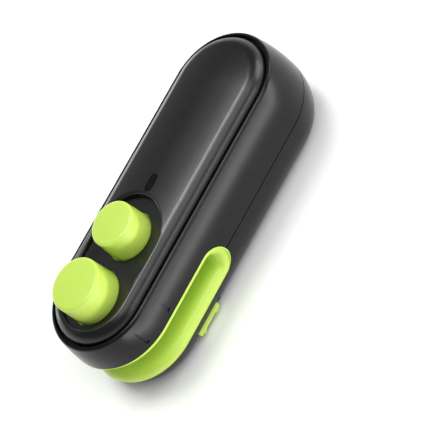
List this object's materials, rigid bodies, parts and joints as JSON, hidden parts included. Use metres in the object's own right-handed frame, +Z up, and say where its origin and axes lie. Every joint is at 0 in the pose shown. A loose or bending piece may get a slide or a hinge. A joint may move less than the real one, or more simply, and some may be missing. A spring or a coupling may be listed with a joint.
{
  "type": "handheld bag sealer",
  "caption": "Handheld rechargeable bag heat sealer and cutter: pill-shaped black case, lime-lined bag slot at one end, lime press buttons above it and a slide switch on the side.",
  "frame": {"origin": "centre of the bounding box on the plane the flat underside rests on", "axes": "+X along the body from the jaw end to the charging socket, +Z up through the buttons, -Y towards the slide switch"},
  "size_m": [0.1047, 0.0382, 0.0386],
  "materials": {
    "case_black": "satin moulded ABS",
    "panel_black": "satin moulded ABS",
    "lime": "satin moulded plastic",
    "spring_steel": "drawn wire",
    "heat_resin": "matte heat-resistant moulding",
    "heater_metal": "rolled ribbon",
    "tape": "woven coated tape",
    "silicone": "matte",
    "screw_steel": "zinc plated",
    "inner_plastic": "matte moulded",
    "blade_steel": "ground",
    "switch_plastic": "matte moulded",
    "cell_wrap": "shrink wrap",
    "nickel": "rolled strip",
    "foam": "matte",
    "board_green": "solder mask",
    "socket_steel": "stamped",
    "led_resin": "cast resin",
    "lens_clear": "frosted moulding"
  },
  "bodies": {
    "housing": {"upper_shell": "case_black", "lower_shell": "case_black", "top_panel": "panel_black", "upper_jaw_liner": "lime", "lower_jaw_liner": "lime", "seal_spring": "spring_steel", "cut_spring": "spring_steel", "anvil_pad": "silicone", "press_frame": "inner_plastic", "frame_screws": "screw_steel", "seal_switch": "switch_plastic", "slide_switch": "switch_plastic", "battery_cell": "cell_wrap", "battery_tabs": "nickel", "battery_pad": "foam", "circuit_board": "board_green", "board_screws": "screw_steel", "usb_socket": "socket_steel", "indicator_led": "led_resin", "indicator_lens": "lens_clear", "case_screws": "screw_steel"},
    "seal_press": {"seal_button": "lime", "heater_carrier": "heat_resin", "heater_strip": "heater_metal", "heater_tape": "tape", "carrier_screw": "screw_steel"},
    "cut_press": {"cut_button": "lime", "blade_holder": "inner_plastic", "cutter_blade": "blade_steel", "blade_pin": "screw_steel"},
    "power_slide": {"slide_knob": "lime"}
  },
  "joints": [
    {"name": "seal_stroke", "type": "slide", "parent": "housing", "child": "seal_press", "axis": [0, 0, -1], "range_m": [0, 0.0046], "stiffness_N_per_m": 800, "springref_m": -0.002, "deforming": ["seal_spring"]},
    {"name": "cut_stroke", "type": "slide", "parent": "housing", "child": "cut_press", "axis": [0, 0, -1], "range_m": [0, 0.006], "stiffness_N_per_m": 600, "springref_m": -0.002, "deforming": ["cut_spring"]},
    {"name": "power_slide", "type": "slide", "parent": "housing", "child": "power_slide", "axis": [1, 0, 0], "range_m": [0, 0.0016]}
  ]
}
